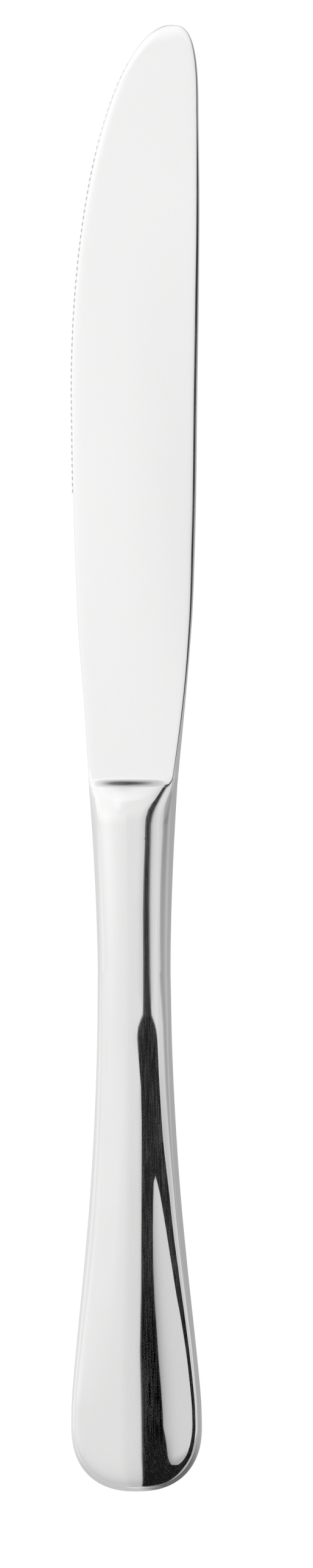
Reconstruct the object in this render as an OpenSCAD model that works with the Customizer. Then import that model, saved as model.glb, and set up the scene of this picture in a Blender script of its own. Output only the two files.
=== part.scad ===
// Table knife with a hollow handle, lying flat as on a table.
// The tip points to +Y, the cutting edge to -X, and the origin is under the middle of the knife.
// Inside the functions below, x runs from the handle's axis, y from the shoulder towards the tip,
// and z from the plane that halves the knife's thickness.

/* [Blade outline] */
// From the shoulder to the tip
blade_len = 124.2; // [100:0.1:150]
// From the handle's axis to the cutting edge between its teeth, where the blade is widest
edge_reach = 9.68; // [8.5:0.02:12]
// From the handle's axis to the spine, where it stands out most
spine_reach = 11.34; // [9:0.01:13]
// From the handle's axis to the very tip
tip_offset = 6.8; // [3:0.1:8]
// From the shoulder to where the cutting edge stands out most
belly_y = 64; // [50:0.5:75]
// Length of the rounded nose on the spine's side
nose_len = 14; // [8:0.5:20]

/* [Blade thickness] */
// Thickness of the spine at the shoulder
spine_t = 2.3; // [1.6:0.1:3]
// Thickness that the spine tapers to at the nose
nose_t = 1.3; // [0.8:0.1:1.6]
// Thickness just behind the cutting edge
edge_t = 0.44; // [0.3:0.02:0.7]
// Width of the ground strip behind the cutting edge
edge_bevel_w = 2; // [1:0.1:3]
// How far that strip falls away from the flat face
edge_bevel_drop = 0.08; // [0.02:0.01:0.1]
// Width of the polished roll beside the spine, where it is widest
spine_roll_w = 1.6; // [1:0.1:2.5]
// Width of that roll at the shoulder
spine_roll_start_w = 0.4; // [0.2:0.1:1]
// From the shoulder to where the roll has its full width
spine_roll_run = 38; // [20:1:60]
// How far the full roll falls away from the flat face
spine_roll_drop = 0.1; // [0.05:0.01:0.3]

/* [Teeth] */
// From the shoulder to the first tooth
teeth_start = 47.5; // [30:0.5:60]
// From the tip back to the last tooth
teeth_tip_gap = 5.5; // [3:0.5:25]
// Distance from tooth to tooth
tooth_pitch = 1.04; // [0.8:0.04:3]
// How far a tooth stands out
tooth_depth = 0.22; // [0.1:0.01:0.4]
// Thickness of the teeth
tooth_t = 0.24; // [0.15:0.01:0.3]

/* [Handle] */
// From the shoulder to the end of the handle
handle_len = 115.8; // [95:0.1:135]
// Width at the shoulder
shoulder_w = 14.5; // [12:0.1:17]
// Width at the neck, the narrowest place
neck_w = 11.92; // [9:0.02:14]
// From the shoulder to the neck
neck_d = 31; // [20:0.5:45]
// Width at the widest place
handle_w = 21.4; // [16:0.1:26]
// Length of the rounded end
end_len = 10.8; // [6:0.1:16]
// Thickness just behind the shoulder
shoulder_t = 6.1; // [5:0.1:8]
// Thickness at the neck
neck_t = 5.9; // [5:0.1:8]
// Thickness where the handle is widest
handle_t = 7.2; // [6:0.1:10]
// From the shoulder to where the full thickness starts
full_t_d = 86; // [60:1:95]
// Width of the flat crest along the middle of each face
crest_w = 1; // [0.4:0.1:2]

/* [Side walls] */
// Width of the side wall, seen from above, at the shoulder
shoulder_wall_w = 0.9; // [0.4:0.05:1.2]
// The same at the neck
neck_wall_w = 0.4; // [0.2:0.05:0.8]
// The same where the handle is widest
handle_wall_w = 0.7; // [0.3:0.05:1.2]
// The same along the spine
spine_wall_w = 0.15; // [0.1:0.05:0.5]
// The same behind the cutting edge
edge_wall_w = 0.15; // [0.08:0.01:0.3]
// The same along the handle on the edge's side
handle_edge_wall_w = 0.25; // [0.15:0.05:0.6]
// Stretch in front of the shoulder over which the spine's wall narrows
spine_swell_len = 22; // [10:1:40]
// The same on the edge's side
edge_swell_len = 5; // [3:0.5:15]
// Stretch behind the shoulder over which the handle's wall narrows on the edge's side
edge_wall_run = 50; // [30:5:90]

/* [Shoulder] */
// Length of the slope from the blade's face up to the handle's
slope_len = 7.6; // [4:0.2:12]
// Length of the sharper step at its foot
step_len = 1.35; // [0.8:0.05:3]
// From the shoulder to the middle of that step
step_mid_y = 0.1; // [0:0.05:0.5]
// From the shoulder to the crease in front of the step, where the slope begins
crease_y = 0.95; // [0.4:0.05:2]
// Softness of that crease
crease_r = 0.2; // [0.1:0.1:1]
// Length of the bolster, which is forged on the blade
bolster_len = 9; // [7:0.5:14]

/* [Inside the handle] */
// Thickness of the pressed half shells
sheet_t = 0.8; // [0.5:0.05:1.2]
// Thickness of the brazed seam between the half shells
seam_t = 0.12; // [0.06:0.02:0.2]
// Thickness of the braze between the bolster and the shells
braze_t = 0.12; // [0.06:0.02:0.2]
// Length of the tang inside the handle
tang_len = 44; // [30:1:60]
// Width of the tang at its root
tang_root_w = 7; // [5:0.1:8]
// Width of the tang at its end
tang_end_w = 5; // [3:0.1:6]
// Thickness of the tang
tang_t = 2.6; // [2:0.1:3]
// Radius of the notches that key the tang into the filler
notch_r = 1.1; // [0.6:0.1:1.4]
// Clearance that the filler leaves all round
filler_gap = 0.05; // [0.02:0.01:0.1]

/* [Hidden] */

// Overrun of a cut or a joined root, so that no two faces lie in one plane
overrun = sheet_t / 2;
// Roundness of the nose, of the long edge curve and of the handle's end: 2 is an ellipse
nose_power = 3;
edge_power = 1.95;
end_power = 2.35;
// Roundness of the handle's section, and how fast the neck narrows
section_power = 2.3;
neck_power = 1.68;
// Shape of the long slope behind the shoulder, and the share of the rise that the step makes
slope_power = 1.65;
step_share = 0.12;
// Shape of the side walls: how quickly they turn upright
wall_power = 1.5;
// How fast a wall swells towards the shoulder, and how late the strip and the roll fall away
swell_power = 2;
bevel_power = 3;
roll_power = 3.4;
// How far the handle's faces would reach if no side wall cut them, as a share of their width
reach_share = 1.08;
// Part of the blade's width that a roll or a wall takes at most, which matters near the tip
roll_limit_share = 0.3;
wall_limit_share = 0.15;
// Part of the handle's width that is still face and not wall at its very end
face_left_share = 0.12;
// Part of a face that its flat crest takes at most, which matters at the very end
crest_limit_share = 0.3;
// Teeth lose depth from this share of the toothed stretch on, down to the second share at its end
tooth_fade_shares = [0.75, 0.35];
// Places of the notches along the tang, and how far their middles stand off its side
notch_shares = [0.35, 0.7];
notch_off_share = 0.25;

// Outlines as pairs: the place along a stretch, and how much of the width change is reached there
edge_shares = [[0, 0], [0.17, 0.23], [0.26, 0.4], [0.36, 0.6], [0.45, 0.72], [0.64, 0.88], [0.8, 0.96],
               [1, 1]];
spine_shares = [[0, 0], [0.15, 0.405], [0.235, 0.6], [0.27, 0.66], [0.32, 0.717], [0.42, 0.803],
                [0.56, 0.868], [0.72, 0.951], [0.86, 1], [1, 0.98]];
handle_shares = [[0, 0], [0.16, 0.04], [0.32, 0.14], [0.49, 0.308], [0.65, 0.532], [0.81, 0.787],
                 [0.89, 0.908], [0.95, 0.98], [1, 1]];

nose_y = blade_len - nose_len;
end_d = handle_len - end_len;
shell_d = bolster_len + braze_t;
mid_x = (spine_reach - max(edge_reach + tooth_depth, handle_w / 2)) / 2;
mid_y = (blade_len - handle_len) / 2;

// Value at s of a smooth curve through the points of a table
function tangent(table, i) =
    let (a = table[max(i - 1, 0)], b = table[min(i + 1, len(table) - 1)])
    (b[1] - a[1]) / (b[0] - a[0]);
function span_of(s, table, i = 0) =
    i >= len(table) - 2 || s < table[i + 1][0] ? i : span_of(s, table, i + 1);
function smooth_at(s, table) =
    let (i = span_of(s, table), a = table[i], b = table[i + 1], w = b[0] - a[0], u = (s - a[0]) / w)
    a[1] * (1 + 2 * u) * pow(1 - u, 2) + b[1] * u * u * (3 - 2 * u)
    + w * tangent(table, i) * u * pow(1 - u, 2) - w * tangent(table, i + 1) * u * u * (1 - u);
function clamp01(s) = min(max(s, 0), 1);
function ease(s) = let (u = clamp01(s)) u * u * (3 - 2 * u);
function mix(a, b, s) = a + (b - a) * s;
// Quarter of a rounded outline: 1 at s = 0, falling to 0 at s = 1
function rounded(s, power) = pow(max(1 - pow(clamp01(s), power), 0), 1 / power);

// Half the handle's width at a distance d behind the shoulder
function handle_half(d) =
    d < neck_d ? mix(neck_w, shoulder_w, pow(1 - d / neck_d, neck_power)) / 2
    : d < end_d ? mix(neck_w, handle_w, smooth_at((d - neck_d) / (end_d - neck_d), handle_shares)) / 2
    : handle_w / 2 * rounded((d - end_d) / end_len, end_power);
function edge_x(y) =
    y < 0 ? -handle_half(-y)
    : y < belly_y ? -mix(shoulder_w / 2, edge_reach, smooth_at(y / belly_y, edge_shares))
    : tip_offset - (tip_offset + edge_reach) * rounded((y - belly_y) / (blade_len - belly_y), edge_power);
function spine_x(y) =
    y < 0 ? handle_half(-y)
    : y < nose_y ? mix(shoulder_w / 2, spine_reach, smooth_at(y / nose_y, spine_shares))
    : mix(tip_offset, mix(shoulder_w / 2, spine_reach, spine_shares[len(spine_shares) - 1][1]),
          rounded((y - nose_y) / nose_len, nose_power));

// Half the handle's thickness along its axis
function crown(d) =
    d < neck_d ? mix(shoulder_t, neck_t, ease(d / neck_d)) / 2
    : mix(neck_t, handle_t, ease((d - neck_d) / (full_t_d - neck_d))) / 2;
// Width of the side wall seen from above, on the edge's side (-1) or the spine's (+1)
function handle_wall(d) =
    d < neck_d ? mix(neck_wall_w, shoulder_wall_w, pow(1 - d / neck_d, swell_power))
    : mix(neck_wall_w, handle_wall_w, ease((d - neck_d) / (full_t_d - neck_d)));
// Half the width of the handle's face inside its side walls
function face_half(d) =
    d < end_d ? handle_half(d) - handle_wall(d)
    : max((handle_w / 2 - handle_wall_w) * rounded((d - end_d) / (end_len - handle_wall_w), end_power),
          face_left_share * handle_half(d));
function wall_w(y, side) =
    let (narrow = side > 0 ? spine_wall_w : edge_wall_w,
         run = side > 0 ? spine_swell_len : edge_swell_len,
         w = mix(narrow, shoulder_wall_w, pow(clamp01(1 - y / run), swell_power)))
    y >= 0 ? min(w, wall_limit_share * (spine_x(y) - edge_x(y)))
    : side > 0 ? handle_half(-y) - face_half(-y) : edge_side_wall(-y);
// The handle's wall on the edge's side: narrow between the shoulder and the rounded end
function edge_side_wall(d) =
    mix(mix(handle_edge_wall_w, shoulder_wall_w, pow(clamp01(1 - d / edge_wall_run), swell_power)),
        handle_half(d) - face_half(d), ease((d - end_d) / end_len));

// Half the blade's thickness: a flat taper, a ground strip at the edge and a roll at the spine
function blade_top(x, y) =
    let (w = spine_x(y) - edge_x(y), from_edge = x - edge_x(y),
         from_wall = max(spine_x(y) - wall_w(y, 1) - x, 0),
         strip = min(edge_bevel_w, roll_limit_share * w),
         roll = min(mix(spine_roll_start_w, spine_roll_w, clamp01(y / spine_roll_run)), roll_limit_share * w),
         thin = edge_t / 2, nose = rounded((y - nose_y) / nose_len, nose_power),
         thick = thin + (mix(spine_t, nose_t, clamp01(y / nose_y)) / 2 - thin) * nose)
    mix(thin, thick, clamp01(from_edge / w))
    - edge_bevel_drop * pow(clamp01(1 - from_edge / strip), bevel_power)
    - spine_roll_drop * nose * roll / spine_roll_w * pow(clamp01(1 - from_wall / roll), roll_power);
// Half the handle's thickness off its axis, with a narrow flat crest along the middle
function pillow(q, d) = crown(d) * rounded(q, section_power);
function handle_top(x, y) =
    let (d = max(-y, 0), off = max(abs(x - (spine_x(y) + edge_x(y)) / 2) - crest_w / 2, 0),
         flank = d < end_d ? (spine_x(y) - edge_x(y)) / 2 - wall_w(y, 1) : handle_w / 2 - handle_wall_w,
         across = off / (flank * reach_share - crest_w / 2),
         along = max(d - end_d, 0) / (end_len - handle_wall_w) / reach_share)
    min(pillow(pow(pow(across, end_power) + pow(along, end_power), 1 / end_power), d), end_wall(d));
// Height of the wall at the very end of the handle, seen from the side
function end_wall(d) =
    d < handle_len - handle_wall_w ? handle_t
    : pillow(1 / reach_share, d) * pow(max(handle_len - d, 0) / handle_wall_w, 1 / wall_power);
// Share of the way from the blade's section to the handle's, at a place y
function rise(y) =
    let (off = y - crease_y, d = (sqrt(off * off + crease_r * crease_r) - off) / 2)
    mix(1 - pow(1 - clamp01(d / slope_len), slope_power), ease(0.5 - (y - step_mid_y) / step_len), step_share);
function top_at(x, y) = mix(blade_top(x, y), handle_top(x, y), rise(y));

// Upper half of the section at y, from the edge's side to the spine's, cut off at the height low
// The points of each side go from the plane that halves the knife up the wall, then over the face
wall_shares = [0, 0.55];
face_shares = [0, 0.05, 0.12, 0.24, 0.45, 0.72, 1];
side_count = len(wall_shares) + len(face_shares);
function side_points(y, side, low) =
    let (rim = side < 0 ? edge_x(y) : spine_x(y), wall = wall_w(y, side), foot = rim - side * wall,
         middle = (edge_x(y) + spine_x(y)) / 2,
         crest = middle + side * min(crest_w / 2, crest_limit_share * abs(foot - middle)),
         top = max(top_at(foot, y), low))
    concat([for (s = wall_shares) let (z = mix(low, top, s))
               [rim - side * wall * pow(z / top, wall_power), y, z]],
           [for (s = face_shares) let (x = mix(foot, crest, s)) [x, y, max(top_at(x, y), low)]]);
function turned(list) = [for (i = [len(list) - 1 : -1 : 0]) list[i]];
function half_section(y, low = 0) = concat(side_points(y, -1, low), turned(side_points(y, 1, low)));
// Upper half of the hollow's section, inset from the shell's outside, with as many points
half_count = 2 * side_count;
function hollow_half(d, inset) =
    d < end_d ? handle_half(d) - inset
    : (handle_w / 2 - inset) * rounded((d - end_d) / (end_len - inset), end_power);
function hollow_section(d, inset, low = 0) =
    let (along = max(d - end_d, 0) / (end_len - inset), half = hollow_half(d, inset),
         full = d < end_d ? half : handle_w / 2 - inset)
    [for (i = [0 : half_count - 1])
        let (x = -half * cos(180 * i / (half_count - 1)),
             q = pow(pow(abs(x) / full, end_power) + pow(along, end_power), 1 / end_power))
        [x, -d, max((crown(d) - inset) * rounded(q, section_power), low)]];
// Both halves of a section as one closed ring
function whole_ring(half) =
    concat(half, [for (i = [len(half) - 2 : -1 : 1]) [half[i][0], half[i][1], -half[i][2]]]);

// Places of the rings: evenly up to the rounded end, and closer and closer along it
straight_rings = 30;
end_rings = 9;
function ring_places(from, inset) =
    concat([for (i = [0 : straight_rings]) mix(from, end_d, i / straight_rings)],
           [for (i = [1 : end_rings - 1]) end_d + (end_len - inset) * sin(90 * i / end_rings)]);

// Closed skin over rings of n points each, with a flat cap in front and a point behind
module skin(rings, tip) {
    n = len(rings[0]);
    last = (len(rings) - 1) * n;
    points = concat([for (r = rings) each r], [tip]);
    faces = concat([[for (j = [0 : n - 1]) j]],
                   [for (i = [0 : len(rings) - 2], j = [0 : n - 1]) each
                       let (a = i * n + j, b = i * n + (j + 1) % n) [[a, a + n, b], [b, a + n, b + n]]],
                   [for (j = [0 : n - 1]) [last + j, len(points) - 1, last + (j + 1) % n]]);
    polyhedron(points, faces);
}

// The knife's own place: lying on its handle's crest, in the middle of its length and width
module lying() translate([-mid_x, -mid_y, handle_t / 2]) children();
// A plan outline or a section made into a plate between two heights or two places
module plate(from, to) translate([0, 0, from]) linear_extrude(to - from) children();

// Plan of the tang, grown all round by a gap
module tang_plan(grow = 0) {
    root = tang_root_w / 2 + grow;
    end = tang_end_w / 2 + grow;
    difference() {
        polygon([[-root, overrun - bolster_len], [root, overrun - bolster_len],
                 [end, -bolster_len - tang_len - grow], [-end, -bolster_len - tang_len - grow]]);
        for (side = [-1, 1], share = notch_shares)
            translate([side * (mix(tang_root_w, tang_end_w, share) / 2 + notch_r * notch_off_share),
                       -bolster_len - tang_len * share])
                circle(r = notch_r - grow, $fn = 32);
    }
}
// Plan of the teeth: rounded bumps along the cutting edge, on a strip that roots in the blade
tooth_points = 4;
module teeth_plan() {
    teeth = floor((blade_len - teeth_tip_gap - teeth_start) / tooth_pitch);
    steps = teeth * tooth_points;
    function tooth_y(i) = teeth_start + i * tooth_pitch / tooth_points;
    function depth(i) = tooth_depth * mix(1, tooth_fade_shares[1],
        clamp01((i / steps - tooth_fade_shares[0]) / (1 - tooth_fade_shares[0])));
    outer = [for (i = [0 : steps]) let (y = tooth_y(i))
        [edge_x(y) - depth(i) * sqrt(abs(sin(180 * i / tooth_points))), y]];
    inner = [for (i = [steps : -tooth_points : 0]) let (y = tooth_y(i))
        [edge_x(y) + edge_wall_w + tooth_t, y]];
    polygon(concat(outer, inner));
}

// Blade, bolster and tang in one; its rings lie close in the bolster, and closer and closer along the nose
module blade() color([0.87, 0.87, 0.86]) lying() {
    bolster_rings = 20;
    step_rings = 6;
    blade_rings = 22;
    nose_rings = 10;
    places = concat([for (i = [0 : bolster_rings]) mix(-bolster_len, crease_y, i / bolster_rings)],
                    [for (i = [1 : step_rings]) crease_y + slope_len * pow(i / step_rings, wall_power)],
                    [for (i = [1 : blade_rings]) mix(crease_y + slope_len, nose_y, i / blade_rings)],
                    [for (i = [1 : nose_rings - 1]) nose_y + nose_len * sin(90 * i / nose_rings)]);
    union() {
        skin([for (y = places) whole_ring(half_section(y))], [tip_offset, blade_len, 0]);
        plate(-tang_t / 2, tang_t / 2) tang_plan();
        plate(-tooth_t / 2, tooth_t / 2) teeth_plan();
    }
}

// Ring of braze between the bolster's back and the mouths of the two half shells
module shoulder_braze() color([0.78, 0.76, 0.70]) lying()
    translate([0, -bolster_len, 0]) rotate([90, 0, 0]) linear_extrude(braze_t) difference() {
        polygon([for (p = whole_ring(half_section(-shell_d))) [p[0], p[2]]]);
        polygon([for (p = whole_ring(hollow_section(shell_d, sheet_t))) [p[0], p[2]]]);
    }

// Pressed half shell: outside, inside, the flat rims that face the seam, and the mouth
module half_shell() {
    low = seam_t / 2;
    n = half_count;
    outside = [for (d = ring_places(shell_d, 0)) half_section(-d, low)];
    inside = [for (d = ring_places(shell_d, sheet_t)) hollow_section(d, sheet_t, low)];
    rows = len(outside);
    in = rows * n;
    points = concat([for (r = outside) each r], [for (r = inside) each r],
                    [[0, -handle_len, low], [0, sheet_t - handle_len, low]]);
    out_end = 2 * in;
    in_end = out_end + 1;
    last = in - n;
    faces = concat(
        [for (i = [0 : rows - 2], j = [0 : n - 2]) each let (a = i * n + j, b = a + n)
            [[a, a + 1, b], [a + 1, b + 1, b],
             [in + a, in + b, in + a + 1], [in + a + 1, in + b, in + b + 1]]],
        [for (j = [0 : n - 2]) each let (a = last + j)
            [[a, a + 1, out_end], [in + a, in_end, in + a + 1]]],
        [for (j = [0 : n - 2]) each [[j, in + j, j + 1], [j + 1, in + j, in + j + 1]]],
        [for (i = [0 : rows - 2]) each let (a = i * n, b = a + n, c = a + n - 1, e = c + n)
            [[a, b, in + a], [b, in + b, in + a], [c, in + c, e], [e, in + c, in + e]]],
        [[last, out_end, in + last], [out_end, in_end, in + last],
         [last + n - 1, in + last + n - 1, out_end], [out_end, in + last + n - 1, in_end]]);
    polyhedron(points, faces);
}
module front_handle_shell() color([0.90, 0.90, 0.89]) lying() half_shell();
module back_handle_shell() color([0.84, 0.84, 0.83]) lying() mirror([0, 0, 1]) half_shell();

// Thin U of braze between the rims of the two shells
module shell_seam_braze() color([0.78, 0.76, 0.70]) lying() {
    low = seam_t / 2;
    rim = [for (d = ring_places(shell_d, 0)) half_section(-d, low)];
    pit = [for (d = ring_places(shell_d, sheet_t)) hollow_section(d, sheet_t, low)];
    rows = len(rim);
    plate(-low, low) polygon(concat(
        [for (r = rim) [r[0][0], r[0][1]]], [[0, -handle_len]],
        [for (i = [rows - 1 : -1 : 0]) [rim[i][half_count - 1][0], rim[i][half_count - 1][1]]],
        [for (r = pit) [r[half_count - 1][0], r[half_count - 1][1]]], [[0, sheet_t - handle_len]],
        [for (i = [rows - 1 : -1 : 0]) [pit[i][0][0], pit[i][0][1]]]));
}

// Hard filler that beds the tang and fills the rest of the hollow
module handle_filler() color([0.62, 0.58, 0.50]) lying() {
    inset = sheet_t + filler_gap;
    rings = [for (d = ring_places(shell_d + filler_gap, inset)) turned(whole_ring(hollow_section(d, inset)))];
    difference() {
        skin(rings, [0, inset - handle_len, 0]);
        plate(-tang_t / 2 - filler_gap, tang_t / 2 + filler_gap) tang_plan(filler_gap);
    }
}

blade();
shoulder_braze();
front_handle_shell();
back_handle_shell();
shell_seam_braze();
handle_filler();
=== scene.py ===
"""Table knife lying flat, seen from straight above: looks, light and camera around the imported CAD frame."""
import math

import bmesh
import bpy
import numpy as np
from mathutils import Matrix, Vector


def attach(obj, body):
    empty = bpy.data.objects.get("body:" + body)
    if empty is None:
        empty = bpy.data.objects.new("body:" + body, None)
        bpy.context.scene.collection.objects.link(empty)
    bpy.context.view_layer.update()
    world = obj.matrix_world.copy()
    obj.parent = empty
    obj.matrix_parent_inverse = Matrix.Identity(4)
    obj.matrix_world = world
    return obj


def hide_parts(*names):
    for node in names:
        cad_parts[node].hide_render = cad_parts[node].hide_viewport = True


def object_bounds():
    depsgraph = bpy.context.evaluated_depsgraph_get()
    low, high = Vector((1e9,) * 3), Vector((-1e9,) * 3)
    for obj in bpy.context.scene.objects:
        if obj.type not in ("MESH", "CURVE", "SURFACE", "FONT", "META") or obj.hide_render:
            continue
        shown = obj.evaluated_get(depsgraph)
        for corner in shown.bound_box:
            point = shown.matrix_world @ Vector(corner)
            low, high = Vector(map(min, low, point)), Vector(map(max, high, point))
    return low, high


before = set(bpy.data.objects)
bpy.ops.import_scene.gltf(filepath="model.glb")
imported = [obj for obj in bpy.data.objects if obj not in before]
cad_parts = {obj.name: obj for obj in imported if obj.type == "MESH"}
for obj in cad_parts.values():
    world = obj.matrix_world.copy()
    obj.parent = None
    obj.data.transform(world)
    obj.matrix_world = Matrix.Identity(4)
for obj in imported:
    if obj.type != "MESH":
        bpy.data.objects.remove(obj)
cad_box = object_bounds()

# Sizes, in millimetres as in the CAD source
BLADE_LEN, EDGE_REACH, SPINE_REACH, TIP_OFFSET, BELLY_Y, NOSE_LEN = 124.2, 9.68, 11.34, 6.8, 64.0, 14.0
SPINE_T, NOSE_T, EDGE_T = 2.3, 1.3, 0.44
BEVEL_W, BEVEL_DROP = 2.0, 0.08
ROLL_W, ROLL_START_W, ROLL_RUN, ROLL_DROP = 1.6, 0.4, 38.0, 0.1
TEETH_START, TEETH_TIP_GAP, TOOTH_PITCH, TOOTH_DEPTH = 47.5, 5.5, 1.04, 0.22
HANDLE_LEN, SHOULDER_W, NECK_W, NECK_D, HANDLE_W, END_LEN = 115.8, 14.5, 11.92, 31.0, 21.4, 10.8
SHOULDER_T, NECK_T, HANDLE_T, FULL_T_D, CREST_W = 6.1, 5.9, 7.2, 86.0, 1.0
SHOULDER_WALL, NECK_WALL, HANDLE_WALL, SPINE_WALL, EDGE_WALL = 0.9, 0.4, 0.7, 0.15, 0.15
SPINE_SWELL, EDGE_SWELL, EDGE_WALL_RUN, HANDLE_EDGE_WALL = 22.0, 5.0, 50.0, 0.25
SLOPE_LEN, STEP_LEN, CREASE_R, BOLSTER_LEN = 7.6, 1.35, 0.2, 9.0
SHEET_T, SEAM_T, BRAZE_T = 0.8, 0.12, 0.12
TANG_LEN, TANG_ROOT_W, TANG_END_W, TANG_T = 44.0, 7.0, 5.0, 2.6
NOTCH_R, NOTCH_SHARES, NOTCH_OFF = 1.1, (0.35, 0.7), 0.25
# Powers and shares of the curves
NOSE_P, EDGE_P, END_P, SECTION_P, NECK_P, SLOPE_P, WALL_P = 3.0, 1.95, 2.35, 2.3, 1.68, 1.65, 1.5
BEVEL_P, ROLL_P = 3.0, 3.4
STEP_SHARE, REACH, ROLL_LIMIT, WALL_LIMIT, FACE_LEFT = 0.12, 1.08, 0.3, 0.15, 0.12
TOOTH_FADE = (0.75, 0.35)
EDGE_CURVE = [(0, 0), (0.17, 0.23), (0.26, 0.4), (0.36, 0.6), (0.45, 0.72), (0.64, 0.88), (0.8, 0.96), (1, 1)]
SPINE_CURVE = [(0, 0), (0.15, 0.405), (0.235, 0.6), (0.27, 0.66), (0.32, 0.717), (0.42, 0.803),
               (0.56, 0.868), (0.72, 0.951), (0.86, 1), (1, 0.98)]
HANDLE_CURVE = [(0, 0), (0.16, 0.04), (0.32, 0.14), (0.49, 0.308), (0.65, 0.532), (0.81, 0.787),
                (0.89, 0.908), (0.95, 0.98), (1, 1)]
NOSE_Y, END_D = BLADE_LEN - NOSE_LEN, HANDLE_LEN - END_LEN
CREASE_Y, STEP_MID_Y = 0.95, 0.1
SHELL_D = BOLSTER_LEN + BRAZE_T
MID_X = (SPINE_REACH - max(EDGE_REACH + TOOTH_DEPTH, HANDLE_W / 2)) / 2
MID_Y = (BLADE_LEN - HANDLE_LEN) / 2
TEETH_END = TEETH_START + math.floor((BLADE_LEN - TEETH_TIP_GAP - TEETH_START) / TOOTH_PITCH) * TOOTH_PITCH


# The shape, in formulas: x runs from the handle's axis, y from the shoulder towards the tip, d from the
# shoulder back along the handle, and z from the plane that halves the thickness
def curve(s, points):
    """Smooth value at s through the points of a table."""
    p = np.array(points, float)
    s = np.clip(np.asarray(s, float), 0, 1)
    last = len(p) - 1
    slope = np.array([(p[min(i + 1, last), 1] - p[max(i - 1, 0), 1])
                      / (p[min(i + 1, last), 0] - p[max(i - 1, 0), 0]) for i in range(last + 1)])
    i = np.clip(np.searchsorted(p[:, 0], s, side="right") - 1, 0, last - 1)
    w = p[i + 1, 0] - p[i, 0]
    u = (s - p[i, 0]) / w
    return (p[i, 1] * (1 + 2 * u) * (1 - u) ** 2 + p[i + 1, 1] * u * u * (3 - 2 * u)
            + w * slope[i] * u * (1 - u) ** 2 - w * slope[i + 1] * u * u * (1 - u))


def clamp(s):
    """s, kept between 0 and 1."""
    return np.clip(s, 0, 1)


def ease(s):
    """Soft step from 0 to 1 as s goes from 0 to 1."""
    u = clamp(s)
    return u * u * (3 - 2 * u)


def mix(a, b, s):
    """From a at 0 to b at 1."""
    return a + (b - a) * s


def rounded(s, power):
    """From 1 at 0 down to 0 at 1 along a rounded corner: power 2 is an ellipse."""
    return np.maximum(1 - clamp(s) ** power, 0) ** (1 / power)


def handle_half(d):
    """Half the handle's width."""
    return np.where(d < NECK_D, mix(NECK_W, SHOULDER_W, clamp(1 - d / NECK_D) ** NECK_P) / 2,
                    np.where(d < END_D,
                             mix(NECK_W, HANDLE_W, curve((d - NECK_D) / (END_D - NECK_D), HANDLE_CURVE)) / 2,
                             HANDLE_W / 2 * rounded((d - END_D) / END_LEN, END_P)))


def edge_x(y):
    """Outline on the edge's side, between its teeth."""
    return np.where(y < 0, -handle_half(np.maximum(-y, 0)),
                    np.where(y < BELLY_Y, -mix(SHOULDER_W / 2, EDGE_REACH, curve(y / BELLY_Y, EDGE_CURVE)),
                             TIP_OFFSET - (TIP_OFFSET + EDGE_REACH)
                             * rounded((y - BELLY_Y) / (BLADE_LEN - BELLY_Y), EDGE_P)))


def spine_x(y):
    """Outline on the spine's side."""
    top = mix(SHOULDER_W / 2, SPINE_REACH, SPINE_CURVE[-1][1])
    return np.where(y < 0, handle_half(np.maximum(-y, 0)),
                    np.where(y < NOSE_Y, mix(SHOULDER_W / 2, SPINE_REACH, curve(y / NOSE_Y, SPINE_CURVE)),
                             mix(TIP_OFFSET, top, rounded((y - NOSE_Y) / NOSE_LEN, NOSE_P))))


def crown(d):
    """Height of the handle's crest."""
    return np.where(d < NECK_D, mix(SHOULDER_T, NECK_T, ease(d / NECK_D)) / 2,
                    mix(NECK_T, HANDLE_T, ease((d - NECK_D) / (FULL_T_D - NECK_D))) / 2)


def face_half(d):
    """Half the width of the handle's face, between its side walls."""
    wall = np.where(d < NECK_D, mix(NECK_WALL, SHOULDER_WALL, clamp(1 - d / NECK_D) ** 2),
                    mix(NECK_WALL, HANDLE_WALL, ease((d - NECK_D) / (FULL_T_D - NECK_D))))
    return np.where(d < END_D, handle_half(d) - wall,
                    np.maximum((HANDLE_W / 2 - HANDLE_WALL)
                               * rounded((d - END_D) / (END_LEN - HANDLE_WALL), END_P),
                               FACE_LEFT * handle_half(d)))


def wall_w(y, side):
    """Width of the side wall seen from above, on the edge's side (-1) or the spine's (1)."""
    narrow, run = (SPINE_WALL, SPINE_SWELL) if side > 0 else (EDGE_WALL, EDGE_SWELL)
    w = mix(narrow, SHOULDER_WALL, clamp(1 - y / run) ** 2)
    d = np.maximum(-y, 0)
    full = handle_half(d) - face_half(d)
    if side < 0:
        narrow = mix(HANDLE_EDGE_WALL, SHOULDER_WALL, clamp(1 - d / EDGE_WALL_RUN) ** 2)
        full = mix(narrow, full, ease((d - END_D) / END_LEN))
    return np.where(y < 0, full, np.minimum(w, WALL_LIMIT * (spine_x(y) - edge_x(y))))


def blade_top(x, y):
    """Height of the blade's face, with the ground strip at its edge and the roll at its spine."""
    w = spine_x(y) - edge_x(y)
    from_edge = x - edge_x(y)
    from_wall = np.maximum(spine_x(y) - wall_w(y, 1) - x, 0)
    strip = np.minimum(BEVEL_W, ROLL_LIMIT * w)
    roll = np.minimum(mix(ROLL_START_W, ROLL_W, clamp(y / ROLL_RUN)), ROLL_LIMIT * w)
    thin = EDGE_T / 2
    nose = rounded((y - NOSE_Y) / NOSE_LEN, NOSE_P)
    thick = thin + (mix(SPINE_T, NOSE_T, clamp(y / NOSE_Y)) / 2 - thin) * nose
    return (mix(thin, thick, clamp(from_edge / w)) - BEVEL_DROP * clamp(1 - from_edge / strip) ** BEVEL_P
            - ROLL_DROP * nose * roll / ROLL_W * clamp(1 - from_wall / roll) ** ROLL_P)


def pillow(q, d):
    """Height of the handle's face at the share q of the way to its side."""
    return crown(d) * rounded(q, SECTION_P)


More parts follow.
